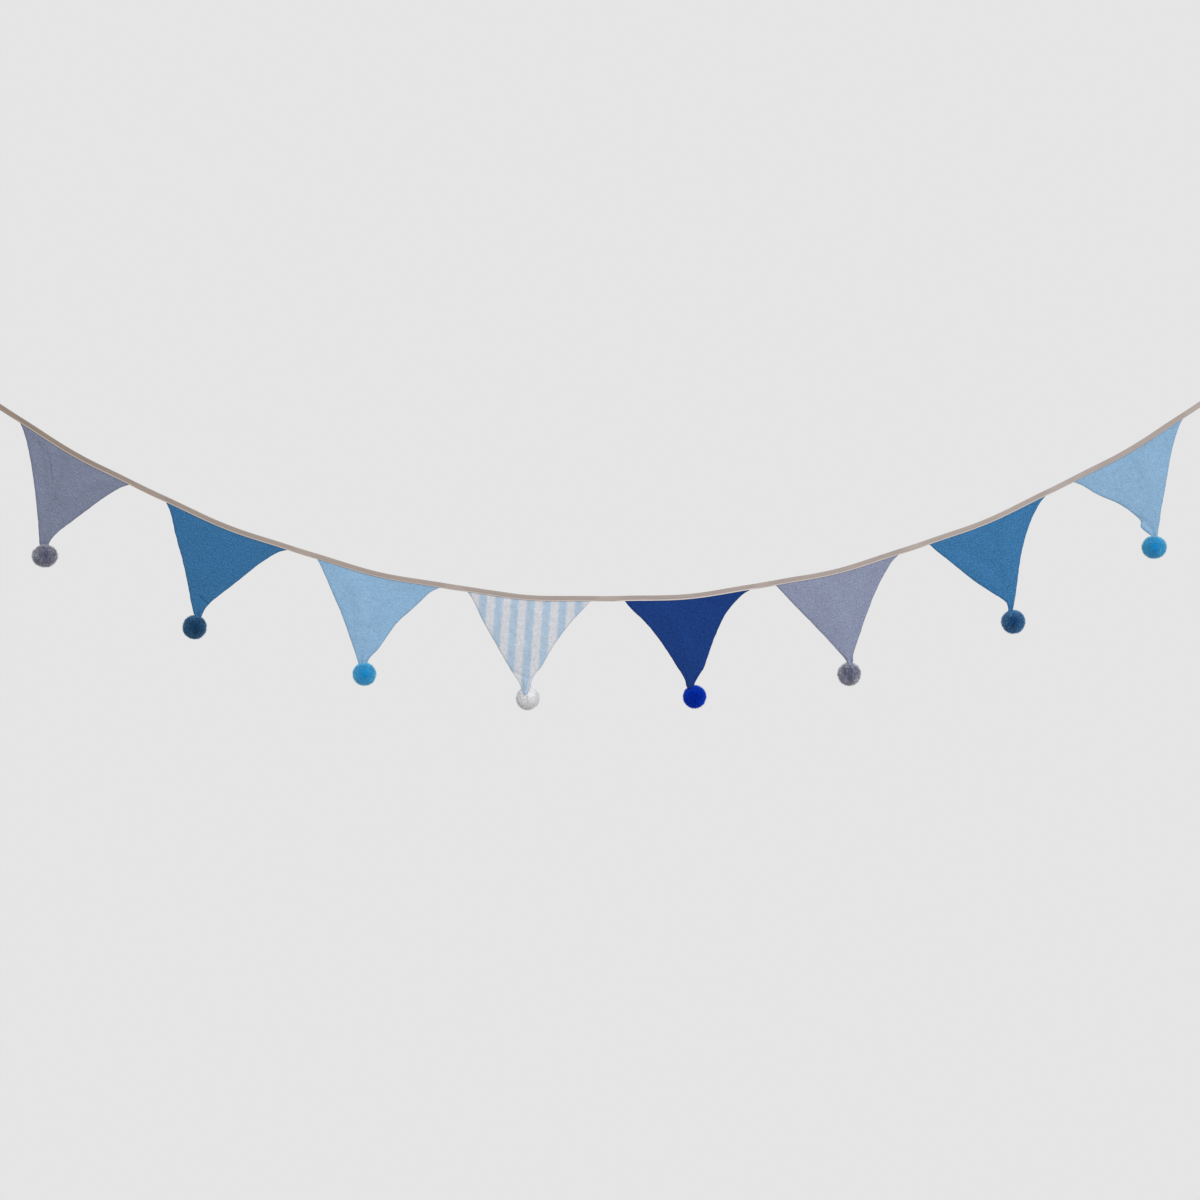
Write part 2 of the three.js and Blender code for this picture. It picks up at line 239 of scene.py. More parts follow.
# left and right are how far each edge is drawn in from a straight line, at EDGE_STEPS of its length.
# tone is how much lighter or darker than its own colour a flag or a pompom is painted. It runs mostly
# darker at the left and lighter at the right: painted light falling from the right.
# lip is how strongly the painted highlight on the tape's lower lip shows along a flag.
# depth is how far back a flag's neck hangs, and behind is how much further back its pompom's middle is.
# over is how much of the pompom's front a flag's tip covers. At 0 the tip goes inside it.
FLAGS = (
    Flag("grey_blue", 0.87, 1.0, -916, 188,
         (4, 6.5, 6, 3.5, 2.5, 1.1), (4.5, 6.8, 6.5, 6, 5.6, 3.1),
         Neck(-832, 79, 14.5, 1), Ball("grey", 0.95, -831, 60, 39, 35, 0, 0)),
    Flag("denim_blue", 0.91, 0.9, -667, 194,
         (2.6, 2, 2.8, 1.2, 0.3, 0), (6, 8.6, 7.5, 7, 6.8, 4),
         Neck(-600.5, -27, 13, -2), Ball("dark_teal", 0.8, -606, -47, 36.5, 36.5, 1, 4.5)),
    Flag("light_blue", 1.0, 0.5, -426, 188,
         (1.6, 2.5, 3.6, 2, 1.6, 0.7), (5.6, 7, 9, 2.8, 1.9, 2),
         Neck(-354, -99, 14.5, 1), Ball("turquoise", 1.0, -351.5, -117.5, 35.5, 35.5, 0, 0)),
    Flag("striped", 1.0, 0.9, -196, 184,
         (1, -1.3, -1.4, -1.2, -0.7, 0.3), (2.2, 6, 6.8, 3.4, 4.4, 3.6),
         Neck(-109.5, -134, 16, -2), Ball("white", 1.0, -106.5, -154, 35.5, 35.5, 6, 11)),
    Flag("navy", 1.0, 1.8, 39, 188,
         (1, 6.4, 7.9, 5.5, 5.2, 3.4), (7.7, 13.3, 9.3, 0.9, 0.7, 0.9),
         Neck(137, -134.5, 11.5, 0), Ball("royal_blue", 1.0, 144, -151.5, 35.5, 35.5, 5, 4.5)),
    Flag("grey_blue", 1.16, 1, 266, 188.5,
         (0.1, 0.3, 1.4, 1.3, 1.1, 0.9), (6, 9.9, 9.3, 6.2, 5.6, 3.7),
         Neck(377, -98, 10, 2), Ball("grey", 1.1, 376.5, -117.5, 36, 36, 6, 5)),
    Flag("denim_blue", 1.1, 1.1, 503, 188,
         (-0.7, -0.5, -0.5, 2.8, 4.2, 4.6), (6.5, 11.6, 10.6, 4.3, 2.5, 0.9),
         Neck(618, -18, 7.5, -1), Ball("dark_teal", 1.14, 622.5, -39, 36.5, 36.5, 6, 11)),
    Flag("light_blue", 1.0, 0.2, 738, 188,
         (3.4, 5.4, 12, 10.2, 1.6, 0), (4, 6, 4.2, 2.8, 1.6, 0.8),
         Neck(834, 90.5, 9.5, 2), Ball("turquoise", 1.0, 833.5, 73, 37.5, 35, 0, 3)),
)

# Soft folds: start and end are shares across and down the flag, and a positive depth is a trough
FOLDS = (
    Fold(1, (0.15, 0.1), (0.26, 0.66), 11, 2.6),
    Fold(1, (0.4, 0.06), (0.36, 0.55), 9, 2.5),
    Fold(1, (0.22, 0.06), (0.33, 0.42), 2.6, 1.1),
    Fold(1, (0.3, 0.14), (0.36, 0.5), 2.4, -0.9),
    Fold(1, (0.82, 0.1), (0.6, 0.5), 13, -2.5),
    Fold(2, (0.5, 0.12), (0.42, 0.6), 16, -3),
    Fold(2, (0.7, 0.7), (0.62, 0.84), 9, 1.2),
    Fold(2, (0.45, 0.83), (0.92, 0.9), 2.8, 2.5),
    Fold(3, (0.8, 0.1), (0.6, 0.62), 14, 3),
    Fold(3, (0.3, 0.15), (0.4, 0.55), 15, -2),
    Fold(4, (0.62, 0.15), (0.58, 0.6), 17, -2.5),
    Fold(4, (0.1, 0.86), (0.9, 0.97), 6, 1.5),
    Fold(5, (0.3, 0.1), (0.45, 0.7), 16, -2.5),
    Fold(5, (0.8, 0.12), (0.68, 0.5), 12, 2.5),
    Fold(6, (0.84, 0.15), (0.8, 0.75), 11, 2.5),
    Fold(6, (0.35, 0.12), (0.5, 0.6), 17, -2),
    Fold(7, (0.14, 0.1), (0.5, 0.66), 14, 2),
    Fold(7, (0.66, 0.15), (0.72, 0.7), 15, -3),
    Fold(8, (0.6, 0.1), (0.7, 0.62), 14, -2.5),
    Fold(8, (0, 0.76), (0.5, 0.93), 9, 1.3),
)


def color_property(name, description, default):
    return FloatVectorProperty(
        name=name, description=description, subtype="COLOR", size=3, min=0, max=1, default=default
    )


def length_property(name, description, default):
    return FloatProperty(name=name, description=description, unit="LENGTH", min=0, default=default)


def strength_property(name, description, default):
    return FloatProperty(name=name, description=description, default=default)


def count_property(name, description, default, least):
    return IntProperty(name=name, description=description, default=default, min=least)


class TapeSettings(PropertyGroup):
    """The folded cotton tape and its sewing."""

    width: length_property("Width", "Height of the folded tape", 8 * MM)
    ply: length_property("Cloth", "Thickness of one layer of the tape", 0.42 * MM)
    layer_gap: length_property("Layers", "Distance between a leg's two layers", 0.5 * MM)
    stitch_height: length_property("Stitch height", "Stitches above the tape's lower edge", 1.8 * MM)
    stitch_pitch: length_property("Stitch pitch", "From one stitch to the next", 3.4 * MM)
    stitch_length: length_property("Stitch length", "Length of one stitch", 2.4 * MM)
    stitch_width: length_property("Stitch width", "Thickness of the sewing thread", 0.45 * MM)
    # The tape's colour runs from its left end to its right end as painted light: darker at the left,
    # lighter at the right, where the light falls from
    shaded_left_color: color_property("Left", "Colour of the tape's left end", paint(150, 134, 121))
    lit_right_color: color_property("Right", "Colour of the tape's right end", paint(182, 170, 164))
    # The lower lip's lightening and its greying are a painted highlight, where the lip catches the light
    lip_highlight_gain: strength_property("Lip", "How much lighter the pressed lower lip is", 0.5)
    lip_highlight_grey: color_property("Lip colour", "Grey that the lower lip is worn toward", paint(166, 162, 161))
    thread_color: color_property("Thread", "Colour of the sewing thread", paint(198, 185, 173))


class ClothSettings(PropertyGroup):
    """The crinkled cotton gauze of the flags."""

    thickness: length_property("Thickness", "Thickness of a flag", 1.2 * MM)
    columns: count_property("Columns", "Faces across a flag", 96, 12)
    rows: count_property("Rows", "Rows of vertices from the tape down to a flag's neck", 88, 12)
    crinkle: length_property("Crinkle", "Depth of the gauze's crinkles", 0.8 * MM)
    thread_pitch: length_property("Thread pitch", "From one thread of the weave to the next", 0.75 * MM)
    stripe_pitch: length_property("Stripe pitch", "From one stripe to the next", 24 * MM)
    stripe_width: length_property("Stripe width", "Width of a blue stripe", 11.8 * MM)
    stripe_start: length_property("First stripe", "Its middle from the flag's left corner", 23.9 * MM)
    grey_blue: color_property("Grey-blue", "Cloth of the grey-blue flags", paint(128, 135, 158))
    denim_blue: color_property("Denim blue", "Cloth of the denim blue flags", paint(55, 110, 156))
    light_blue: color_property("Light blue", "Cloth of the light blue flags", paint(138, 174, 205))
    striped: color_property("White", "Ground of the striped flag", paint(204, 206, 212))
    stripe: color_property("Stripe", "Stripes of the striped flag", paint(169, 189, 208))
    navy: color_property("Navy", "Cloth of the navy flag", paint(22, 57, 121))


class YarnSettings(PropertyGroup):
    """The cut yarn of the pompoms."""

    strands: count_property("Strands", "Yarn ends on a pompom", 7000, 50)
    fibres: count_property("Fibres", "Loose fine fibres on a pompom", 300, 0)
    tufts: count_property("Tufts", "Tufts that the yarn ends gather into", 150, 10)
    strand_width: length_property("Strand", "Thickness of one yarn end", 0.7 * MM)
    fibre_width: length_property("Fibre", "Thickness of a loose fibre", 0.14 * MM)
    grey: color_property("Grey", "Yarn of the grey pompoms", paint(115, 117, 149))
    dark_teal: color_property("Dark teal", "Yarn of the dark teal pompoms", paint(4, 85, 145))
    turquoise: color_property("Turquoise", "Yarn of the turquoise pompoms", paint(1, 196, 248))
    white: color_property("White", "Yarn of the white pompom", paint(238, 238, 240))
    royal_blue: color_property("Royal blue", "Yarn of the royal blue pompom", paint(2, 56, 201))


class StageSettings(PropertyGroup):
    """The camera, the light and the plain pale surroundings."""

    distance: length_property("Camera distance", "From the camera to the tape", 5.0)
    camera_place: FloatVectorProperty(
        name="Camera place", description="Camera right of and above the tape's lowest point",
        unit="LENGTH", size=2, default=(2 * MM, -6.25 * MM),
    )
    lens: FloatProperty(name="Lens", description="Focal length", unit="CAMERA", default=100.0)
    floor_drop: length_property("Floor", "Floor below the lowest pompom", 1.05)
    floor_radius: length_property("Floor radius", "Where the floor has faded out", 1.5)
    backdrop: color_property("Backdrop", "Pale surroundings", paint(229, 229, 229))
    sun: strength_property("Key light", "Strength of the soft key light", 1.6)
    ambient: strength_property("Ambient", "Strength of the light from all round", 0.6)


# The tape and the flags as surfaces, in millimetres


def lerp(start, end, share):
    return start + (end - start) * share


def smoothstep(value, low, high):
    share = np.clip((value - low) / (high - low), 0.0, 1.0)
    return share * share * (3.0 - 2.0 * share)


def bell(distance, reach):
    """1 at no distance, fading softly to nothing past the reach."""
    return np.exp(-((distance / reach) ** 2))


def unit(vectors):
    return vectors / np.linalg.norm(vectors, axis=1, keepdims=True)


def flag_pull(along):
    """How far the flags' weight draws the tape down."""
    pull = np.zeros_like(along)
    for flag in FLAGS:
        share = np.clip((along - flag.start) / flag.width, 0, 1)
        pull += FLAG_PULL * np.sin(math.pi * share) ** 2
    return pull


def tape_drift(along):
    """How far the tape drifts to the back between its flat ends."""
    to_end = np.minimum(along - TAPE_START, TAPE_END - along) - DRIFT_FLAT_END
    return DRIFT_DEPTH * np.sin(FULL_TURN * along / DRIFT_LENGTH) * smoothstep(to_end, 0, DRIFT_FADE)


def tape_place(along, below):
    """x and z of a place on the tape: along it, and below its top edge."""
    along = np.asarray(along, dtype=float)
    slope = np.arctan2(along, CURVE_RADIUS)
    x = CURVE_RADIUS * np.arcsinh(along / CURVE_RADIUS) + below * np.sin(slope)
    hang = np.hypot(CURVE_RADIUS, along) - CURVE_RADIUS - flag_pull(along)
    sway = SWAY * np.cos(FULL_TURN * (along - SWAY_CREST) / SWAY_LENGTH)
    return x, hang + sway - below * np.cos(slope)


def tape_open(along):
    """1 where a flag parts the tape's legs, 0 where they lie together."""
    share = np.zeros_like(along)
    for flag in FLAGS:
        outside = np.maximum(np.maximum(flag.start - along, along - flag.start - flag.width), 0)
        share = np.maximum(share, 1 - smoothstep(outside, 0, TAPE_EASE))
    return share


def edge_line(flag, side):
    """A flag's left or right edge, as a function from shares down it to x and z."""
    is_left = side == "left"
    corner = np.array(tape_place(flag.start + (0 if is_left else flag.width), tape_width())).ravel()
    foot = np.array((flag.neck.x + (-0.5 if is_left else 0.5) * flag.neck.width, flag.neck.z))
    chord = foot - corner
    inward = np.array((-chord[1], chord[0])) / np.hypot(*chord) * (1 if is_left else -1)
    drawn = zip(EDGE_STEPS, flag.left if is_left else flag.right)
    between = [corner + chord * step + inward * amount for step, amount in drawn]
    line = spline(np.array([corner, *between, foot]))
    run = np.concatenate(([0], np.cumsum(np.hypot(*np.diff(line, axis=0).T))))
    return lambda down: tuple(np.interp(down * run[-1], run, line[:, axis]) for axis in (0, 1))


def spline(knots, steps=40):
    """A smooth line through the knots."""
    t = np.linspace(0, 1, steps, endpoint=False)[:, None]
    padded = np.concatenate((knots[:1], knots, knots[-1:]))
    spans = []
    for before, start, end, after in zip(padded, padded[1:], padded[2:], padded[3:]):
        out, into = (end - before) / 2, (after - start) / 2
        cubic = 2 * start - 2 * end + out + into
        square = 3 * end - 3 * start - 2 * out - into
        spans.append(cubic * t**3 + square * t**2 + out * t + start)
    return np.concatenate((*spans, knots[-1:]))


def fold_depth(number, flag, across, down):
    """How far a flag's folds set its cloth back."""
    size = (lerp(flag.width, flag.neck.width, down), flag.width)
    depth = np.zeros_like(across)
    for fold in FOLDS:
        if fold.flag != number:
            continue
        run = np.subtract(fold.end, fold.start)
        off = (across - fold.start[0], down - fold.start[1])
        share = np.clip((off[0] * run[0] + off[1] * run[1]) / (run @ run), 0, 1)
        away = np.hypot((off[0] - share * run[0]) * size[0], (off[1] - share * run[1]) * size[1])
        depth += fold.depth * bell(away, fold.reach)
    return depth * smoothstep(down, 0, FOLD_START) * (1 - smoothstep(down, FOLD_END, 1))


def tape_width():
    return bpy.context.scene.bunting_tape.width / MM


def flag_places(number, flag, across, down):
    """x, y and z over a flag. down is -1 at the top edge in the seam, 0 at the tape's lower edge,
    1 at the neck and 2 at the end of the tip on the pompom."""
    width = tape_width()
    along = flag.start + across * flag.width
    body = np.clip(down, 0, 1)
    edges = [edge_line(flag, side) for side in ("left", "right")]
    left, right = (edge(body) for edge in edges)
    corners = [edge(np.zeros(1)) for edge in edges]
    hem = tape_place(along, width)
    x, z = (
        lerp(left[axis], right[axis], across)
        + (1 - body) * (hem[axis] - lerp(corners[0][axis], corners[1][axis], across))
        for axis in (0, 1)
    )
    belly = BELLY * np.sin(math.pi * body) * np.sin(math.pi * across)
    y = lerp(tape_drift(along), flag.neck.depth, body) - belly + fold_depth(number, flag, across, body)

    seam = down < 0
    seam_x, seam_z = tape_place(along, width + np.minimum(down, 0) * SEAM)
    x, z = np.where(seam, seam_x, x), np.where(seam, seam_z, z)

    tip = np.clip(down - 1, 0, 1)
    middle, half = tip_sides(flag, tip)
    x = np.where(down > 1, middle + (2 * across - 1) * half, x)
    z = np.where(down > 1, lerp(flag.neck.z, tip_end(flag), tip), z)
    y = np.where(down > 1, lerp(y, tip_depth(flag, x, z), smoothstep(tip, 0, TIP_BEND)), y)
    return x, y, z


def tip_end(flag):
    """Height of the end of a flag's tip, on the pompom's front or inside it."""
    ball = flag.ball
    return ball.z + (ball.tall / 2 - ball.over if ball.over else TIP_INSIDE)


def tip_sides(flag, share):
    """Middle and half width of a flag's tip, at shares from its neck to its end."""
    end = lerp(flag.neck.x, flag.ball.x, TIP_LEAN)
    return lerp(flag.neck.x, end, share), 0.5 * flag.neck.width * lerp(1, TIP_WIDTH, share)


def tip_depth(flag, x, z):
    """Depth of a flag's tip, which bends forward over the pompom's front or goes straight in."""
    ball, level = flag.ball, flag.neck.depth + np.zeros_like(x)
    if not ball.over:
        return level
    radius = (ball.wide + ball.tall) / 4
    off = np.square((x - ball.x) / ball.wide) + np.square((z - ball.z) / ball.tall)
    front = level + ball.behind - radius * np.sqrt(np.maximum(0, TIP_BED**2 - 4 * off))
    ahead = level - front
    return level - (ahead + np.hypot(ahead, TIP_ROUNDING)) / 2


def ripples(across, down, grain, seed):
    """Smooth noise over places in millimetres, up to the grain's strength to either side of 0."""
    scaled = zip(np.ravel(across) / grain.across, np.ravel(down) / grain.down)
    heights = [noise.noise(Vector((a, b, seed * SEED_STEP))) for a, b in scaled]
    return grain.strength * np.reshape(heights, np.shape(down))


# Meshes

# A tube that runs more upright than this takes its sides from the x axis
NEARLY_UPRIGHT = 0.8


def deselect_all():
    bpy.ops.object.select_all(action="DESELECT")


def select_only(piece):
    deselect_all()
    piece.select_set(True)
    bpy.context.view_layer.objects.active = piece


def add_grid(name, columns, rows):
    """A flat grid as a new piece, with its vertices in rows from the bottom."""
    deselect_all()
    bpy.ops.mesh.primitive_grid_add(x_subdivisions=columns, y_subdivisions=rows, size=1)
    piece = bpy.context.object
    piece.name = piece.data.name = name
    return piece


def set_places(piece, x, y, z):
    """Moves a piece's vertices to places given in millimetres."""
    places = np.stack([np.ravel(axis) for axis in (x, y, z)], axis=1) * MM
    piece.data.vertices.foreach_set("co", places.ravel().astype(np.float32))
    piece.data.update()


def set_attribute(piece, name, values):
    layer = piece.data.attributes.new(name, "FLOAT", "POINT")
    layer.data.foreach_set("value", np.ravel(values).astype(np.float32))


def set_cut_map(piece, across, down):
    """The UV map: each vertex's place on the flat cut cloth, in metres."""
    layer = piece.data.uv_layers[0]
    layer.name = "cut"
    corners = np.empty(len(piece.data.loops), dtype=np.int32)
    piece.data.loops.foreach_get("vertex_index", corners)
    flat = np.stack((np.ravel(across), np.ravel(down)), axis=1) * MM
    layer.data.foreach_set("uv", flat[corners].ravel().astype(np.float32))


def thicken(piece, thickness, group=""):
    """Gives a sheet its thickness, half to each side. A vertex group thins it."""
    wall = piece.modifiers.new("thickness", "SOLIDIFY")
    wall.thickness = thickness
    wall.offset = 0
    wall.vertex_group = group
    wall.thickness_vertex_group = 0.0
    apply_modifiers(piece)


def apply_modifiers(piece):
    select_only(piece)
    for name in [modifier.name for modifier in piece.modifiers]:
        bpy.ops.object.modifier_apply(modifier=name)


def turn_outward(piece):
    """Recalculates a closed piece's normals to point out."""
    select_only(piece)
    bpy.ops.object.mode_set(mode="EDIT")
    bpy.ops.mesh.select_all(action="SELECT")
    bpy.ops.mesh.normals_make_consistent(inside=False)
    bpy.ops.object.mode_set(mode="OBJECT")


def mesh_piece(name, vertices, triangles):
    """A piece from arrays of vertices, in millimetres, and triangles."""
    mesh = bpy.data.meshes.new(name)
    mesh.vertices.add(len(vertices))
    mesh.vertices.foreach_set("co", (vertices * MM).ravel().astype(np.float32))
    mesh.loops.add(triangles.size)
    mesh.loops.foreach_set("vertex_index", triangles.ravel().astype(np.int32))
    mesh.polygons.add(len(triangles))
    mesh.polygons.foreach_set("loop_start", np.arange(0, triangles.size, 3, dtype=np.int32))
    mesh.update(calc_edges=True)
    mesh.validate()
    piece = bpy.data.objects.new(name, mesh)
    bpy.context.collection.objects.link(piece)
    return piece


def tubes(centres, radii, sides):
    """Closed thin tubes along rows of centres, as vertices and triangles."""
    count, rings = centres.shape[:2]
    run = unit(centres[:, -1] - centres[:, 0])
    helper = np.where(np.abs(run[:, 2:]) > NEARLY_UPRIGHT, (1.0, 0.0, 0.0), (0.0, 0.0, 1.0))
    side = unit(np.cross(run, helper))
    other = np.cross(run, side)
    turn = FULL_TURN * np.arange(sides) / sides
    around = side[:, None] * np.cos(turn)[None, :, None] + other[:, None] * np.sin(turn)[None, :, None]
    vertices = centres[:, :, None] + radii[:, :, None, None] * around[:, None]
    ring = np.arange(sides)
    following = (ring + 1) % sides
    pattern = []
    for step in range(rings - 1):
        low, high = step * sides, (step + 1) * sides
        pattern.append(np.stack((low + ring, low + following, high + following), axis=1))
        pattern.append(np.stack((low + ring, high + following, high + ring), axis=1))
    fan = np.stack((np.zeros(sides - 2, int), np.arange(1, sides - 1), np.arange(2, sides)), axis=1)
    pattern += [fan[:, ::-1], fan + (rings - 1) * sides]
    pattern = np.concatenate(pattern)
    starts = np.arange(count) * rings * sides
    triangles = (starts[:, None, None] + pattern[None]).reshape(-1, 3)
    return vertices.reshape(-1, 3), triangles


# Finishes


class Wire:
    """A socket's value that Python's operators can reckon with. Each operation adds a Math node."""

    def __init__(self, finish, socket):
        self.finish = finish
        self.socket = socket

    def math(self, operation, *others):
        return self.finish.node("ShaderNodeMath", {"operation": operation}, [self, *others])

    def __add__(self, other):
        return self.math("ADD", other)

    __radd__ = __add__

    def __sub__(self, other):
        return self.math("SUBTRACT", other)

    def __rsub__(self, other):
        return (self * -1) + other

    def __mul__(self, other):
        return self.math("MULTIPLY", other)

    __rmul__ = __mul__

    def __truediv__(self, other):
        return self.math("DIVIDE", other)


class Finish:
    """A material with its nodes. node() adds any node and returns one of its outputs as a Wire."""

    def __init__(self, name):
        self.material = bpy.data.materials.new(name)
        self.material.use_nodes = True
        self.tree = self.material.node_tree
        self.tree.nodes.clear()

    def node(self, kind, settings=None, inputs=(), output=0):
        made = self.tree.nodes.new(kind)
        for name, value in (settings or {}).items():
            setattr(made, name, value)
        values = inputs.items() if isinstance(inputs, dict) else enumerate(inputs)
        sockets = {socket.identifier: socket for socket in made.inputs}
        for key, value in values:
            socket = made.inputs[key] if isinstance(key, int) else sockets[key]
            if isinstance(value, Wire):
                self.tree.links.new(value.socket, socket)
            else:
                socket.default_value = value
        if not made.outputs:
            return None
        by_name = {socket.identifier: socket for socket in made.outputs}
        return Wire(self, made.outputs[output] if isinstance(output, int) else by_name[output])

    def attribute(self, name):
        return self.node("ShaderNodeAttribute", {"attribute_name": name}, output="Fac")

    def cut_map(self):
        """The place on the flat cut cloth, in metres: the vector, and its two parts."""
        place = self.node("ShaderNodeUVMap", {"uv_map": "cut"})
        parts = self.node("ShaderNodeSeparateXYZ", inputs=[place])
        across = Wire(self, parts.socket.node.outputs["X"])
        down = Wire(self, parts.socket.node.outputs["Y"])
        return place, across, down

    def grain(self, place, grain):
        """Noise from 0 to 1 over a place in metres, with grains of the given size."""
        size = (grain.across * MM, grain.down * MM, 1.0)
        return self.noise(self.node("ShaderNodeVectorMath", {"operation": "DIVIDE"}, [place, size]), 1.0)

    def noise(self, place, scale):
        return self.node("ShaderNodeTexNoise", inputs={"Vector": place, "Scale": scale, "Detail": 2.0})

    def ramp(self, value, low, high):
        """0 below low and 1 above high, with a soft step between."""
        settings = {"interpolation_type": "SMOOTHSTEP"}
        inputs = {"Value": value, "From Min": low, "From Max": high}
        return self.node("ShaderNodeMapRange", settings, inputs)

    def mix(self, first, second, share):
        settings = {"data_type": "RGBA"}
        inputs = {"Factor_Float": share, "A_Color": rgba(first), "B_Color": rgba(second)}
        return self.node("ShaderNodeMix", settings, inputs, output="Result_Color")

    def shade(self, color, value):
        """A colour made lighter or darker by a value near 1."""
        grey = self.node("ShaderNodeCombineXYZ", inputs=[value, value, value])
        return self.node("ShaderNodeVectorMath", {"operation": "MULTIPLY"}, [color, grey])

    def finish(self, color, height=None, height_depth=0.0, **sockets):
        """The surface shader, with bump from a height between 0 and 1."""
        inputs = {"Base Color": color, **sockets}
        if height is not None:
            inputs["Normal"] = self.node(
                "ShaderNodeBump", inputs={"Height": height, "Strength": 1.0, "Distance": height_depth}
            )
        shader = self.node("ShaderNodeBsdfPrincipled", inputs=inputs)
        self.node("ShaderNodeOutputMaterial", inputs=[shader])
        return self.material


def rgba(color):
    return color if isinstance(color, Wire) else (*color, 1.0)


def about_zero(noise_wire, strength):
    """Noise from 0 to 1 as a swing to either side of 0."""
    return (noise_wire - 0.5) * strength


def weave_height(across, down, pitch):
    """A plain weave: threads that go over and under each other, from 0 to 1."""
    warp = (across * (math.pi / pitch)).math("SINE")
    weft = (down * (math.pi / pitch)).math("SINE")
    return (warp * weft) * 0.5 + 0.5


def gauze(name, settings, color, spots, stripe=None):
    """Crinkled cotton gauze: a fine weave, slubs along the weft and a mottled crinkle, whose spots are
    partly the cloth's own mottling and partly painted shade of the crinkles.
    """
    finish = Finish(name)
    place, across, down = finish.cut_map()
    crinkle, lump, slub, cloud = (finish.grain(place, grain) for grain in (spots, LUMP, SLUB, CLOUD))
    weave = weave_height(across, down, settings.thread_pitch)
    cloth = tuple(color)
    if stripe is not None:
        wander = about_zero(finish.grain(place, STRIPE_WANDER), STRIPE_WANDER.strength * MM)
        nearest = ((across + wander) - settings.stripe_start) / settings.stripe_pitch + 0.5
        off_middle = (nearest.math("FRACT") - 0.5).math("ABSOLUTE") * settings.stripe_pitch
        half, blur = settings.stripe_width / 2, STRIPE_BLUR * MM
        inside = 1 - finish.ramp(off_middle, half - blur, half + blur)
        cloth = finish.mix(color, stripe, inside)
    # The crinkle's spots are partly the gauze's own mottling and partly painted shade of its crinkles
    tone = about_zero(crinkle, spots.strength) + about_zero(lump, LUMP.strength)
    tone = tone + about_zero(slub, SLUB.strength) + about_zero(cloud, CLOUD.strength)
    tone = (tone + weave * WEAVE_TONE + (1 - WEAVE_TONE / 2)) * finish.attribute("tone")
    height = crinkle * CRINKLE_RELIEF + lump * LUMP_RELIEF + weave * WEAVE_RELIEF
    return finish.finish(
        finish.shade(cloth, tone), height, GAUZE_RELIEF * MM,
        **{"Roughness": 0.92, "Specular IOR Level": 0.12, "Sheen Weight": 0.04, "Sheen Roughness": 0.6},
    )


def tape_cloth(settings):
    """Plain cotton tape, painted darker toward its left end and lighter toward its right as light falls
    from the right, with a painted highlight on its lower lip where a flag is sewn in.
    """
    finish = Finish("tape_cotton")
    place, across, down = finish.cut_map()
    cloud = finish.grain(place, TAPE_CLOUD)
    slub = finish.grain(place, TAPE_SLUB)
    weave = weave_height(across, down, TAPE_THREAD_PITCH * MM)
    lip = finish.attribute("lip")
    # Painted light: the colour turns from the shaded left end to the lit right end
    cloth = finish.mix(settings.shaded_left_color, settings.lit_right_color, finish.attribute("turn"))
    # The lower lip's painted highlight: greyer here, and lighter below
    cloth = finish.mix(cloth, settings.lip_highlight_grey, lip * LIP_HIGHLIGHT_GREYING)
    tone = about_zero(cloud, TAPE_CLOUD.strength) + about_zero(slub, TAPE_SLUB.strength)
    tone = tone + weave * TAPE_WEAVE_TONE + (1 - TAPE_WEAVE_TONE / 2)
    tone = tone * finish.attribute("tone") * (lip * settings.lip_highlight_gain + 1)
    height = weave * TAPE_WEAVE_RELIEF + slub * TAPE_SLUB_RELIEF
    return finish.finish(
        finish.shade(cloth, tone), height, TAPE_RELIEF * MM,
        **{"Roughness": 0.9, "Specular IOR Level": 0.2, "Sheen Weight": 0.08},
    )


def thread(settings):
    """Twisted sewing thread."""
    finish = Finish("sewing_thread")
    place = finish.node("ShaderNodeTexCoord", output="Object")
    fuzz = finish.noise(place, FUZZ_SCALE)
    color = finish.shade(tuple(settings.thread_color), about_zero(fuzz, FUZZ_TONE) + 1)
    return finish.finish(color, fuzz, FUZZ_RELIEF * MM, **{"Roughness": 0.75, "Specular IOR Level": 0.3})


def yarn(name, color, painted_sheen_color):
    """Cut yarn: its own deep colour down at the fibres' roots, fading toward their ends to a paler colour,
    a painted sheen of fuzz that catches the light.
    """
    finish = Finish(name)
    share = finish.attribute("along")
    share = share * share
    # The fade to the paler colour toward the fibres' ends is a painted sheen
    fibre = finish.mix(color, painted_sheen_color, share * share)
    return finish.finish(
        finish.shade(fibre, finish.attribute("tone")), **{"Roughness": 0.95, "Specular IOR Level": 0.0}
    )


# The tape


def leg_depth(open_share):
    """How far a leg's inner layer lies from the tape's middle."""
    return LEG_CLOSED + LEG_PARTED * open_share


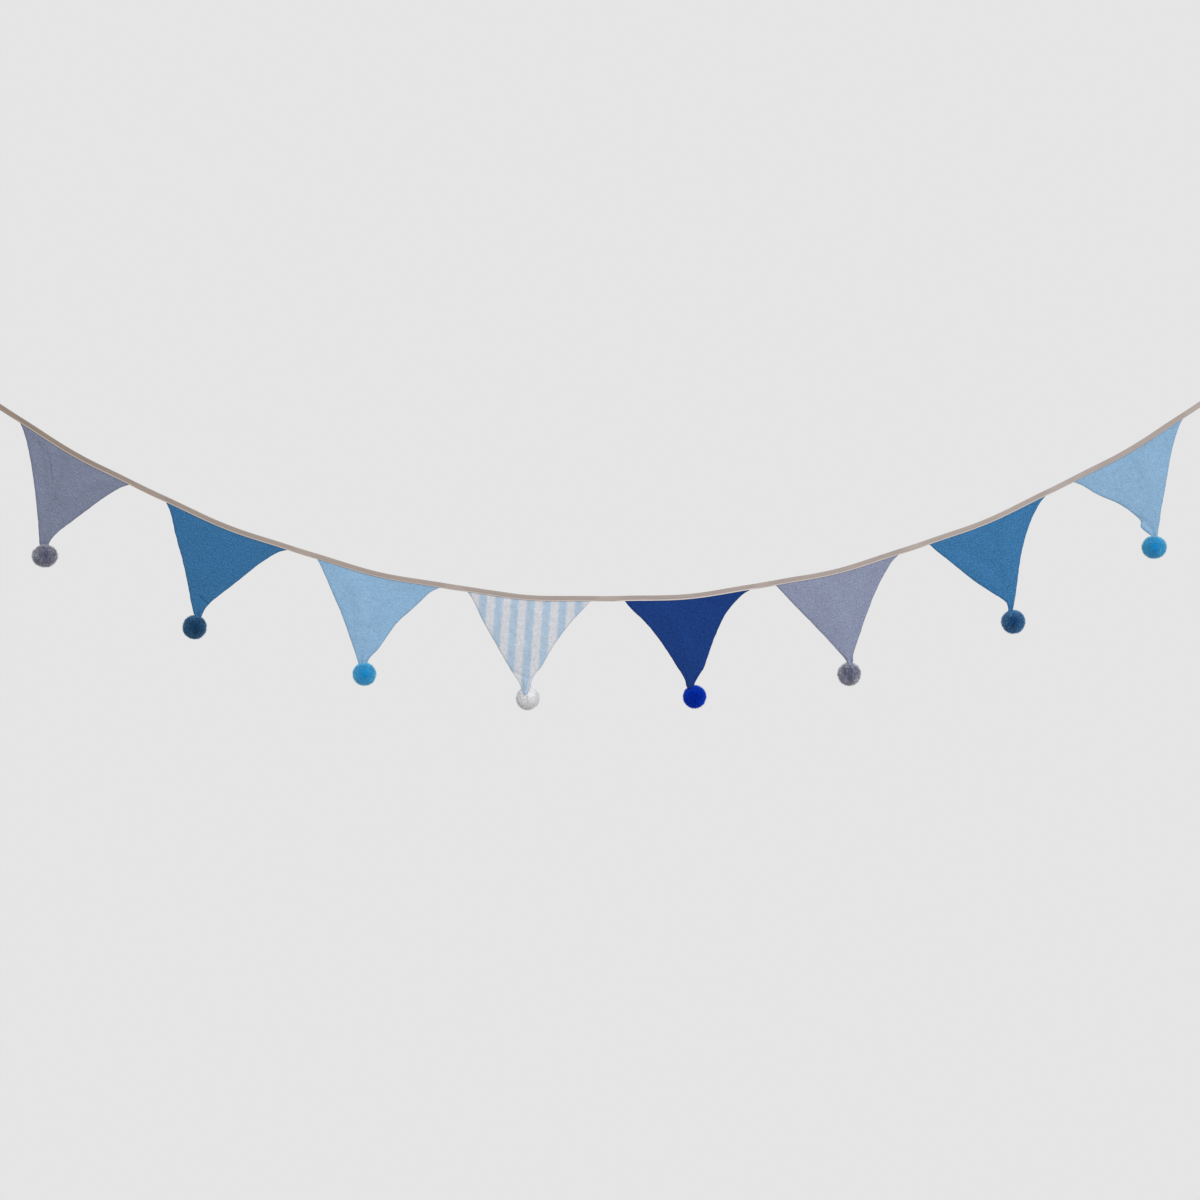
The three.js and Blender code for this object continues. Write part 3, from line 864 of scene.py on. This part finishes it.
def tape_profile(settings, open_share):
    """Half of the tape's section at each station, from the raw edge inside to the folded top.
    Returns the depth of the cloth's middle, the distance below the top, and the share of lip."""
    width, ply, gap = settings.width / MM, settings.ply / MM, settings.layer_gap / MM
    stitch = width - settings.stitch_height / MM
    inner = leg_depth(open_share)
    outer = inner + gap
    turn = width - ply / 2 - gap / 2
    section = []
    for below in (RAW_EDGE, MID_LEG, stitch - INNER_PINCH_REACH, stitch, stitch + INNER_PINCH_REACH):
        pinch = INNER_PINCH if below == stitch else 0
        section.append((inner - pinch * open_share, below, 0))
    for step in range(TURN_STEPS + 1):
        angle = math.pi * (step / TURN_STEPS)
        depth = inner + gap / 2 * (1 - math.cos(angle))
        lip = open_share if angle > math.pi / 2 else 0
        section.append((depth, turn + gap / 2 * math.sin(angle), lip))
    for below_stitch, pinch, lip in STITCHED_LAYER:
        section.append((outer - pinch * open_share, stitch + below_stitch, lip * open_share))
    for below, pinch in UPPER_LAYER:
        section.append((outer - pinch * open_share, below, 0))
    for step in range(1, TOP_STEPS + 1):
        angle = math.pi / 2 * (step / TOP_STEPS)
        section.append((outer * math.cos(angle), ply / 2 + TOP_RISE * (1 - math.sin(angle)), 0))
    depths, belows, lips = zip(*section)
    depths, lips = (
        np.stack([np.broadcast_to(value, open_share.shape) for value in values], axis=1)
        for values in (depths, lips)
    )
    return depths, np.array(belows), lips


def make_tape(settings):
    """The folded tape, as one strip of cloth turned in along both edges and folded over the flags."""
    along = np.linspace(TAPE_START, TAPE_END, TAPE_STATIONS)
    open_share = tape_open(along)
    depths, belows, lips = tape_profile(settings, open_share)
    behind = np.concatenate((-depths, depths[:, -2::-1]), axis=1)
    below = np.concatenate((belows, belows[-2::-1]))
    lip = np.concatenate((lips, lips[:, -2::-1]), axis=1) * lip_strength(along)[:, None]
    stations = along[:, None] + np.zeros_like(behind)
    wobble = ripples(along, along, WOBBLE, WOBBLE_SEED)[:, None]
    x, z = tape_place(stations, below[None] * (1 + WOBBLE_STRETCH * wobble))
    y = tape_drift(stations) + behind
    piece = add_grid("tape_cloth", behind.shape[1] - 1, len(along) - 1)
    set_places(piece, x, y, z + wobble)
    across_cloth = np.cumsum(np.hypot(np.diff(behind, axis=1), np.diff(below)[None]), axis=1)
    across_cloth = np.concatenate((np.zeros((len(along), 1)), across_cloth), axis=1)
    set_cut_map(piece, stations, across_cloth)
    set_attribute(piece, "lip", lip)
    # Painted light along the tape: how far its colour turns from the shaded left end to the lit right end
    turn = np.interp(along, TAPE_LIGHT_AT, TAPE_LIGHT_SHARE)
    set_attribute(piece, "turn", np.broadcast_to(turn[:, None], lip.shape))
    set_attribute(piece, "tone", np.broadcast_to(1 - TAPE_SHADE * open_share[:, None], lip.shape))
    thicken(piece, settings.ply)
    turn_outward(piece)
    piece.data.shade_smooth()
    piece.data.materials.append(tape_cloth(settings))
    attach(piece, "root")
    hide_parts("tape")


def lip_strength(along):
    """How strongly the painted highlight on the tape's lower lip shows, from flag to flag."""
    strength = np.zeros_like(along)
    for flag in FLAGS:
        from_middle = np.abs(along - flag.start - flag.width / 2)
        strength[from_middle < flag.width / 2 + TAPE_EASE] = flag.lip
    return strength


def make_stitches(settings):
    """Two rows of stitches along the tape, on its front and on its back."""
    pitch, length = settings.stitch_pitch / MM, settings.stitch_length / MM
    radius = settings.stitch_width / MM / 2
    middles = np.arange(TAPE_START + pitch, TAPE_END - pitch, pitch)
    open_share = tape_open(middles)
    surface = leg_depth(open_share) + settings.layer_gap / MM - STITCH_PINCH * open_share
    surface = surface + settings.ply / MM / 2
    steps, heights, widths = np.array(STITCH_RINGS).T
    along = middles[:, None] + steps * length
    x, z = tape_place(along, tape_width() - settings.stitch_height / MM)
    rows = []
    for front in (-1, 1):
        y = tape_drift(along) + front * (surface[:, None] + heights * radius)
        rows.append(np.stack((x, y, z), axis=2))
    centres = np.concatenate(rows)
    radii = np.broadcast_to(widths * radius, centres.shape[:2])
    vertices, triangles = tubes(centres, radii, STITCH_SIDES)
    piece = mesh_piece("tape_stitches", vertices, triangles)
    piece.data.shade_smooth()
    piece.data.materials.append(thread(settings))
    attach(piece, "root")


# The flags


def flag_grid(settings):
    """Shares across and down a flag, with more columns near its edges."""
    edge = np.array(EDGE_COLUMNS)
    inner = np.linspace(INNER_COLUMN, 1 - INNER_COLUMN, settings.columns + 1 - 2 * len(edge))
    across = np.concatenate((edge, inner, 1 - edge[::-1]))
    tip = np.linspace(TIP_ROW, 2, TIP_ROWS)
    down = np.concatenate((SEAM_ROWS, np.linspace(0, 1, settings.rows), tip))
    return np.meshgrid(across, down[::-1])


def cut_places(flag, x, z):
    """Where places on a flag lie on its flat cut cloth: along its top edge, and down from that."""
    slope = math.atan2(flag.start + flag.width / 2, CURVE_RADIUS)
    corner_x, corner_z = tape_place(flag.start, tape_width())
    along = (x - corner_x) * math.cos(slope) + (z - corner_z) * math.sin(slope)
    below = (x - corner_x) * math.sin(slope) - (z - corner_z) * math.cos(slope)
    return along, below


def make_flag(number, flag, settings, material):
    """One flag: a thin crinkled sheet from its seam in the tape to its tip on the pompom."""
    across, down = flag_grid(settings)
    x, y, z = flag_places(number, flag, across, down)
    cut_across, cut_down = cut_places(flag, x, z)
    local_width = lerp(flag.width, flag.neck.width, np.clip(down, 0, 1))
    from_edge = np.minimum(across, 1 - across) * local_width
    free = smoothstep(down, 0, HEM_EASE)

    coarse = ripples(cut_across, cut_down, COARSE_CRINKLE, number)
    fine = ripples(cut_across, cut_down, FINE_CRINKLE, number + FINE_SEED)
    pucker = ripples(cut_across, cut_down, PUCKER, number + PUCKER_SEED)
    wave = ripples(np.sign(across - 0.5), cut_down, EDGE_WAVE, number + EDGE_WAVE_SEED)
    gather = smoothstep(down, GATHER_START, GATHER_FULL) * (1 - SLACK * smoothstep(down, SLACK_START, 2))
    pleats = PLEAT_DEPTH * np.cos(FULL_TURN * (PLEATS * across + PLEAT_SHIFT * number))
    crinkle = settings.crinkle / MM * (coarse + fine) * (1 - GATHER_CALM * gather)
    rolled = bell(from_edge, ROLL_REACH) * (ROLL_DEPTH + pucker)
    x = x + wave * free * (1 - gather) * bell(from_edge, EDGE_WAVE_REACH)
    y = y + free * (crinkle + rolled) + gather * pleats

    piece = add_grid(f"flag_{number}_cloth", x.shape[1] - 1, x.shape[0] - 1)
    set_places(piece, x, y, z)
    set_cut_map(piece, cut_across, cut_down)
    # The tone holds painted light, the flag's own tone darker at the left and lighter at the right, and
    # painted shade along its rolled edges
    set_attribute(piece, "tone", flag.tone * (1 - EDGE_SHADE * bell(from_edge, EDGE_SHADE_REACH) * free))
    body_group = piece.vertex_groups.new(name="body")
    weights = 1 - EDGE_THINNING * bell(from_edge, EDGE_THINNING_REACH)
    for index, weight in enumerate(weights.ravel()):
        body_group.add([index], float(weight), "REPLACE")
    thicken(piece, settings.thickness, "body")
    piece.data.shade_smooth()
    piece.data.materials.append(material)
    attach(piece, "root")
    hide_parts(f"flag_{number}")


# The pompoms: the seed of their random draws, and how far their lumps shift from one to the next
YARN_SEED = 500
SWELL_STEP = 3.7

# As shares of a pompom's radius: how deep in the core the yarn ends root, how far they scatter, reach
# and curl, and how far the ball and its core swell, in lumps of the given fineness
ROOT_DEPTH = 0.06
TUFT_SCATTER = 0.05
TUFT_REACH = (0.97, 1.0)
BALL_SWELL = 0.03
BALL_FINENESS = 1.7
CORE_SWELL = 0.02
CORE_FINENESS = 4
STRAND_SCATTER = 0.02
STRAND_REACH = (0.97, 1.03)
STRAND_CURL = 0.02
FIBRE_SCATTER = 0.1
FIBRE_REACH = (1.0, 1.08)
FIBRE_CURL = 0.03

# How much lighter or darker loose fibres are than the yarn
FIBRE_TONE = (0.9, 1.1)

# The rings of a yarn end and of a loose fibre, as shares of its length and width
YARN_SIDES = 3
STRAND_RINGS = ((0, 1), (1, 0.2))
STRAY_RINGS = ((0, 1), (0.6, 0.9), (1, 0.5))

# How strongly pale fibres are shaded as one round ball, where each fibre's own sides count as 1
SOFT_SHARE = 0.36

# How yarn ends keep clear of a flag's tip, in millimetres: how far they come in under its sides, how
# far below its end or behind its cloth they stay, and how far from the cloth where it goes inside
UNDER_SIDES = 0.4
BELOW_END = 0.5
BEHIND_CLOTH = 1
ROUND_CLOTH = 1.4

# How big each yarn's core is under the pile, how closely its fibres gather into tufts, how uneven it is
# from tuft to tuft, the paler colour that its fibres' ends fade to, a painted sheen of fuzz catching the
# light, and whether its pale fibres are shaded partly as one ball, as fibres that let light through would
# be
Yarn = namedtuple("Yarn", "core gather mottle ends pale")
YARNS = {
    "grey": Yarn(0.84, 0.2, 0.15, paint(236, 236, 240), False),
    "dark_teal": Yarn(0.84, 0.2, 0.08, paint(130, 178, 212), False),
    "turquoise": Yarn(0.84, 0.2, 0.05, paint(156, 206, 226), False),
    "white": Yarn(0.87, 0.15, 0.02, paint(250, 250, 252), True),
    "royal_blue": Yarn(0.84, 0.2, 0.06, paint(40, 97, 225), False),
}


def spread(count):
    """Directions spread evenly over a ball."""
    step = np.arange(count)
    height = 1 - (2 * step + 1) / count
    ring = np.sqrt(1 - height * height)
    turn = GOLDEN_ANGLE * step
    return np.stack((ring * np.cos(turn), ring * np.sin(turn), height), axis=1)


def clear_of_tip(flag, places):
    """True for places that keep clear of a flag's tip, and of the space before one that shows."""
    x, y, z = places.T
    top, end = flag.neck.z, tip_end(flag)
    middle, half = tip_sides(flag, np.clip((top - z) / (top - end), 0, 1))
    beside = (np.abs(x - middle) > half - UNDER_SIDES) | (z < end - BELOW_END)
    depth = tip_depth(flag, x, z)
    if flag.ball.over:
        return beside | (y > depth + BEHIND_CLOTH)
    return beside | (np.abs(y - depth) > ROUND_CLOTH)


def make_pompom(number, flag, settings, material):
    """One pompom: yarn ends gathered in tufts round a lumpy core, with loose fibres between them."""
    rng = np.random.default_rng(YARN_SEED + number)
    ball = flag.ball
    middle = np.array((ball.x, flag.neck.depth + ball.behind, ball.z))
    radii = np.array((ball.wide, (ball.wide + ball.tall) / 2, ball.tall)) / 2
    pile = YARNS[ball.yarn]
    tufts, strands, fibres = settings.tufts, settings.strands, settings.fibres

    heads = unit(spread(tufts) + rng.normal(0, TUFT_SCATTER, (tufts, 3)))
    lift = rng.uniform(*TUFT_REACH, tufts) + BALL_SWELL * swell(heads, BALL_FINENESS, number)
    tint = rng.normal(1, pile.mottle, tufts)
    outward = unit(spread(strands) + rng.normal(0, STRAND_SCATTER, (strands, 3)))
    tuft = np.argmax(outward @ heads.T, axis=1)
    gathered = unit(outward + pile.gather * rng.uniform(0, 1, (strands, 1)) * heads[tuft])
    reach = lift[tuft] * rng.uniform(*STRAND_REACH, strands)
    strand_tone = tint[tuft] * rng.normal(1, pile.mottle, strands)
    loose = unit(rng.normal(0, 1, (fibres, 3)))
    swept = unit(loose + rng.normal(0, FIBRE_SCATTER, (fibres, 3)))
    loose_reach = rng.uniform(*FIBRE_REACH, fibres)
    fibre_tone = rng.uniform(*FIBRE_TONE, fibres)

    parts = []
    for roots, tips, ends, curl, tone, width, rings in (
        (outward, gathered, reach, STRAND_CURL, strand_tone, settings.strand_width, STRAND_RINGS),
        (loose, swept, loose_reach, FIBRE_CURL, fibre_tone, settings.fibre_width, STRAY_RINGS),
    ):
        shares, widths = np.array(rings).T
        start = pile.core - ROOT_DEPTH
        centres = middle + yarn_ends(rng, roots, tips, start, ends, shares, curl) * radii
        kept = clear_of_tip(flag, centres[:, -1])
        if not ball.over:
            kept &= clear_of_tip(flag, centres[:, -2])
        centres = centres[kept]
        size = centres.shape[:2]
        vertices, triangles = tubes(centres, np.broadcast_to(width / MM / 2 * widths, size), YARN_SIDES)
        # ball.tone is painted light, darker at the left and lighter at the right; the strand tones mottle
        # at random
        tones = np.broadcast_to(ball.tone * tone[kept][:, None], size)
        alongs = np.broadcast_to(shares, size)
        parts.append((vertices, triangles, np.repeat(tones, YARN_SIDES), np.repeat(alongs, YARN_SIDES)))

    vertices, triangles = core_lump(pile.core, number)
    core_tones = np.full(len(vertices), ball.tone)
    parts.append((middle + vertices * radii, triangles, core_tones, np.zeros(len(vertices))))
    starts = np.cumsum([0] + [len(part[0]) for part in parts])
    vertices = np.concatenate([part[0] for part in parts])
    triangles = np.concatenate([part[1] + start for part, start in zip(parts, starts)])
    piece = mesh_piece(f"pompom_{number}_yarn", vertices, triangles)
    set_attribute(piece, "tone", np.concatenate([part[2] for part in parts]))
    set_attribute(piece, "along", np.concatenate([part[3] for part in parts]))
    piece.data.shade_smooth()
    if pile.pale:
        facing = np.empty(vertices.size)
        piece.data.vertex_normals.foreach_get("vector", facing)
        soft = SOFT_SHARE * unit((vertices - middle) / radii) + facing.reshape(-1, 3)
        piece.data.normals_split_custom_set_from_vertices(unit(soft))
    piece.data.materials.append(material)
    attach(piece, "root")
    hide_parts(f"pompom_{number}")


def yarn_ends(rng, roots, tips, start, reach, shares, curl):
    """Centres of strands on a ball of radius 1, from their roots to their curling tips."""
    share = shares[None, :, None]
    low = roots[:, None] * start
    high = tips[:, None] * reach[:, None, None]
    sway = rng.normal(0, curl, (len(roots), 1, 3))
    return low + (high - low) * share + sway * share * share


def core_lump(core, number):
    """The lumpy heart of a pompom on a ball of radius 1, as vertices and triangles."""
    deselect_all()
    bpy.ops.mesh.primitive_ico_sphere_add(subdivisions=3, radius=1)
    lump = bpy.context.object
    vertices = np.array([vertex.co[:] for vertex in lump.data.vertices])
    triangles = np.array([face.vertices[:] for face in lump.data.polygons])
    bpy.data.meshes.remove(lump.data)
    radii = core + CORE_SWELL * swell(vertices, CORE_FINENESS, number)
    return vertices * radii[:, None], triangles


def swell(directions, fineness, number):
    """Smooth noise from -1 to 1 over a ball, different for each pompom."""
    shift = Vector((number * SWELL_STEP, 0, 0))
    return np.array([noise.noise(Vector(place) * fineness + shift) for place in directions])


# The stage: the camera's sensor in millimetres, how broad the key light is and which way it shines,
# and the share of the floor's radius where it starts to fade
SENSOR_WIDTH = 36
KEY_SPREAD = math.radians(42)
KEY_DIRECTION = Vector((-0.32, 0.84, -0.44))
FLOOR_CORNERS = 96
FLOOR_FADE_START = 0.25


def make_camera(scene, settings):
    """A camera straight in front of the hanging tape."""
    camera = bpy.data.objects.new("camera", bpy.data.cameras.new("camera"))
    scene.collection.objects.link(camera)
    camera.data.lens = settings.lens
    camera.data.sensor_width = SENSOR_WIDTH
    side, height = settings.camera_place
    camera.location = (side, -settings.distance, height)
    camera.rotation_euler = (math.pi / 2, 0, 0)
    scene.camera = camera


def make_light(scene, settings):
    """A broad soft key light from the upper right, and even light from all round."""
    key = bpy.data.objects.new("key_light", bpy.data.lights.new("key_light", "SUN"))
    scene.collection.objects.link(key)
    key.data.energy = settings.sun
    key.data.angle = KEY_SPREAD
    key.rotation_euler = KEY_DIRECTION.to_track_quat("-Z", "Y").to_euler()
    world = bpy.data.worlds.new("pale_room")
    world.use_nodes = True
    scene.world = world
    tree = world.node_tree
    tree.nodes.clear()
    path = tree.nodes.new("ShaderNodeLightPath")
    seen = tree.nodes.new("ShaderNodeBackground")
    seen.inputs["Color"].default_value = rgba(tuple(settings.backdrop))
    lit = tree.nodes.new("ShaderNodeBackground")
    lit.inputs["Color"].default_value = (1, 1, 1, 1)
    lit.inputs["Strength"].default_value = settings.ambient
    mix = tree.nodes.new("ShaderNodeMixShader")
    out = tree.nodes.new("ShaderNodeOutputWorld")
    tree.links.new(path.outputs["Is Camera Ray"], mix.inputs["Fac"])
    tree.links.new(lit.outputs[0], mix.inputs[1])
    tree.links.new(seen.outputs[0], mix.inputs[2])
    tree.links.new(mix.outputs[0], out.inputs["Surface"])
    scene.view_settings.view_transform = "Standard"


def make_floor(settings):
    """A pale round floor that fades into its surroundings."""
    deselect_all()
    height = CAD_BOX[0].z - settings.floor_drop
    bpy.ops.mesh.primitive_circle_add(
        vertices=FLOOR_CORNERS, radius=settings.floor_radius, fill_type="NGON", location=(0, 0, height)
    )
    floor = bpy.context.object
    floor.name = "floor"
    finish = Finish("pale_floor")
    place = finish.node("ShaderNodeTexCoord", output="Object")
    away = finish.node("ShaderNodeVectorMath", {"operation": "LENGTH"}, [place], output="Value")
    gone = finish.ramp(away, FLOOR_FADE_START * settings.floor_radius, settings.floor_radius)
    surface = finish.node("ShaderNodeBsdfDiffuse", inputs={"Color": rgba(tuple(settings.backdrop))})
    clear = finish.node("ShaderNodeBsdfTransparent")
    shader = finish.node("ShaderNodeMixShader", inputs=[gone, surface, clear])
    finish.node("ShaderNodeOutputMaterial", inputs=[shader])
    floor.data.materials.append(finish.material)


# Operators


class BUNTING_OT_tape(Operator):
    """Fold the tape along its hanging curve and sew it"""

    bl_idname = "bunting.tape"
    bl_label = "Tape"

    def execute(self, context):
        settings = context.scene.bunting_tape
        make_tape(settings)
        make_stitches(settings)
        return {"FINISHED"}


class BUNTING_OT_flags(Operator):
    """Cut the crinkled cotton flags and hang them from the tape"""

    bl_idname = "bunting.flags"
    bl_label = "Flags"

    def execute(self, context):
        settings = context.scene.bunting_cloth
        cloths = {}
        for number, flag in enumerate(FLAGS, start=1):
            if flag.cloth not in cloths:
                color = getattr(settings, flag.cloth)
                stripe = settings.stripe if flag.cloth == "striped" else None
                name = f"gauze_{flag.cloth}"
                cloths[flag.cloth] = gauze(name, settings, color, CRINKLES[flag.cloth], stripe)
            make_flag(number, flag, settings, cloths[flag.cloth])
        return {"FINISHED"}


class BUNTING_OT_pompoms(Operator):
    """Make a yarn pompom for the tip of each flag"""

    bl_idname = "bunting.pompoms"
    bl_label = "Pompoms"

    def execute(self, context):
        settings = context.scene.bunting_yarn
        yarns = {}
        for number, flag in enumerate(FLAGS, start=1):
            name = flag.ball.yarn
            if name not in yarns:
                yarns[name] = yarn(f"yarn_{name}", getattr(settings, name), YARNS[name].ends)
            make_pompom(number, flag, settings, yarns[name])
        return {"FINISHED"}


class BUNTING_OT_stage(Operator):
    """Set up the camera, the soft light and the pale floor"""

    bl_idname = "bunting.stage"
    bl_label = "Stage"

    def execute(self, context):
        settings = context.scene.bunting_stage
        make_camera(context.scene, settings)
        make_light(context.scene, settings)
        make_floor(settings)
        return {"FINISHED"}


class BUNTING_PT_panel(Panel):
    """Lists the bunting's steps in the sidebar"""

    bl_idname = "BUNTING_PT_panel"
    bl_label = "Bunting"
    bl_space_type = "VIEW_3D"
    bl_region_type = "UI"
    bl_category = "Bunting"

    def draw(self, context):
        for step in STEPS:
            self.layout.operator(step.bl_idname)


STEPS = (BUNTING_OT_stage, BUNTING_OT_tape, BUNTING_OT_flags, BUNTING_OT_pompoms)
SETTINGS = {
    "bunting_tape": TapeSettings,
    "bunting_cloth": ClothSettings,
    "bunting_yarn": YarnSettings,
    "bunting_stage": StageSettings,
}


def register():
    for group in SETTINGS.values():
        bpy.utils.register_class(group)
    for name, group in SETTINGS.items():
        setattr(bpy.types.Scene, name, PointerProperty(type=group))
    for step in (*STEPS, BUNTING_PT_panel):
        bpy.utils.register_class(step)


def unregister():
    for step in (BUNTING_PT_panel, *reversed(STEPS)):
        bpy.utils.unregister_class(step)
    for name in SETTINGS:
        delattr(bpy.types.Scene, name)
    for group in reversed(SETTINGS.values()):
        bpy.utils.unregister_class(group)


def main():
    register()
    bpy.ops.bunting.stage()
    bpy.ops.bunting.tape()
    bpy.ops.bunting.flags()
    bpy.ops.bunting.pompoms()


if __name__ == "__main__":
    main()
